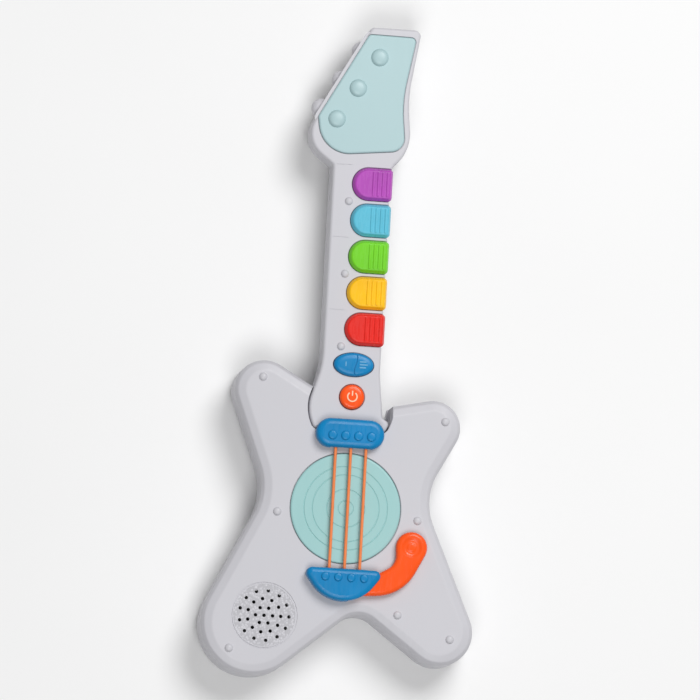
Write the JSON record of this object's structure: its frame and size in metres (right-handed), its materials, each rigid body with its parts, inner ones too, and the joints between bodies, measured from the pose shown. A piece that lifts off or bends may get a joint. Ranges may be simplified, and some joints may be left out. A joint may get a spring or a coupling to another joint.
{
  "type": "toy electric guitar",
  "caption": "Child's electronic toy guitar with coloured fret keys, strummed strings, whammy bar, power button, mode rocker and speaker grille.",
  "frame": {"origin": "under the middle of the whole toy, on the surface that its flat back lies on", "axes": "+Y from the body towards the headstock, +Z out of the front, +X towards the whammy bar's side"},
  "size_m": [0.1788, 0.4314, 0.0484],
  "materials": {
    "shell_white": "fine satin texture, cool white",
    "accent_mint": "satin",
    "accent_blue": "gloss",
    "accent_orange": "gloss",
    "key_red": "gloss",
    "key_yellow": "gloss",
    "key_green": "gloss",
    "key_light_blue": "gloss",
    "key_purple": "gloss",
    "steel": "zinc plated",
    "board": "solder mask",
    "silicone": "matt",
    "black_plastic": "matt",
    "speaker_paper": "matt",
    "battery_wrap": "gloss",
    "cable": "matt"
  },
  "bodies": {
    "guitar": {"battery_1": "battery_wrap", "battery_2": "battery_wrap", "battery_3": "battery_wrap", "battery_contact_lower": "steel", "battery_contact_upper": "steel", "battery_lead": "cable", "battery_spring_1": "steel", "battery_spring_2": "steel", "battery_spring_3": "steel", "body_front_shell": "shell_white", "body_rear_shell": "shell_white", "body_screw_1": "steel", "body_screw_2": "steel", "body_screw_3": "steel", "body_screw_4": "steel", "body_screw_5": "steel", "body_screw_6": "steel", "body_screw_7": "steel", "bridge_cover": "accent_blue", "button_mat": "silicone", "headstock_plate": "accent_mint", "key_mat": "silicone", "main_board": "board", "neck_board": "board", "neck_cable": "cable", "neck_front_shell": "shell_white", "neck_rear_shell": "shell_white", "neck_screw_1": "steel", "neck_screw_2": "steel", "neck_screw_3": "steel", "neck_screw_4": "steel", "neck_screw_5": "steel", "pickup_cover": "accent_blue", "sound_disc": "accent_mint", "speaker_cone": "speaker_paper", "speaker_frame": "steel", "speaker_lead": "cable", "speaker_magnet": "black_plastic", "speaker_screw_1": "steel", "speaker_screw_2": "steel", "strum_spring_left": "steel", "strum_spring_right": "steel", "strum_switch": "black_plastic", "whammy_pivot_screw": "steel", "whammy_return_spring": "steel", "whammy_sensor": "black_plastic"},
    "battery_cover": {"battery_door": "shell_white", "battery_door_screw": "steel"},
    "power": {"power_button": "accent_orange"},
    "mode": {"mode_rocker": "accent_blue"},
    "strum": {"string_1": "accent_orange", "string_2": "accent_orange", "string_3": "accent_orange", "strum_carriage": "black_plastic"},
    "whammy": {"whammy_bar": "accent_orange"},
    "key_red": {"fret_key_red": "key_red"},
    "key_yellow": {"fret_key_yellow": "key_yellow"},
    "key_green": {"fret_key_green": "key_green"},
    "key_light_blue": {"fret_key_light_blue": "key_light_blue"},
    "key_purple": {"fret_key_purple": "key_purple"}
  },
  "joints": [
    {"name": "red_key_press", "type": "slide", "parent": "guitar", "child": "key_red", "axis": [0, 0, -1], "range_m": [0, 0.0015], "stiffness_N_per_m": 900},
    {"name": "yellow_key_press", "type": "slide", "parent": "guitar", "child": "key_yellow", "axis": [0, 0, -1], "range_m": [0, 0.0015], "stiffness_N_per_m": 900},
    {"name": "green_key_press", "type": "slide", "parent": "guitar", "child": "key_green", "axis": [0, 0, -1], "range_m": [0, 0.0015], "stiffness_N_per_m": 900},
    {"name": "light_blue_key_press", "type": "slide", "parent": "guitar", "child": "key_light_blue", "axis": [0, 0, -1], "range_m": [0, 0.0015], "stiffness_N_per_m": 900},
    {"name": "purple_key_press", "type": "slide", "parent": "guitar", "child": "key_purple", "axis": [0, 0, -1], "range_m": [0, 0.0015], "stiffness_N_per_m": 900},
    {"name": "power_press", "type": "slide", "parent": "guitar", "child": "power", "axis": [0, 0, -1], "range_m": [0, 0.0012], "stiffness_N_per_m": 700},
    {"name": "mode_rock", "type": "hinge", "parent": "guitar", "child": "mode", "pos_m": [0.0014, -0.0083, 0.0336], "axis": [0, 1, 0], "range_deg": [-4, 4]},
    {"name": "strum_slide", "type": "slide", "parent": "guitar", "child": "strum", "axis": [1, 0, 0], "range_m": [-0.002, 0.002], "stiffness_N_per_m": 500, "deforming": ["strum_spring_left", "strum_spring_right"]},
    {"name": "whammy_swing", "type": "hinge", "parent": "guitar", "child": "whammy", "pos_m": [0.009, -0.1562, 0.039], "axis": [0, 0, 1], "range_deg": [-10, 10], "stiffness_Nm_per_rad": 0.12},
    {"name": "battery_door_off", "type": "slide", "parent": "guitar", "child": "battery_cover", "axis": [0, 0, -1], "range_m": [0, 0.03]}
  ]
}
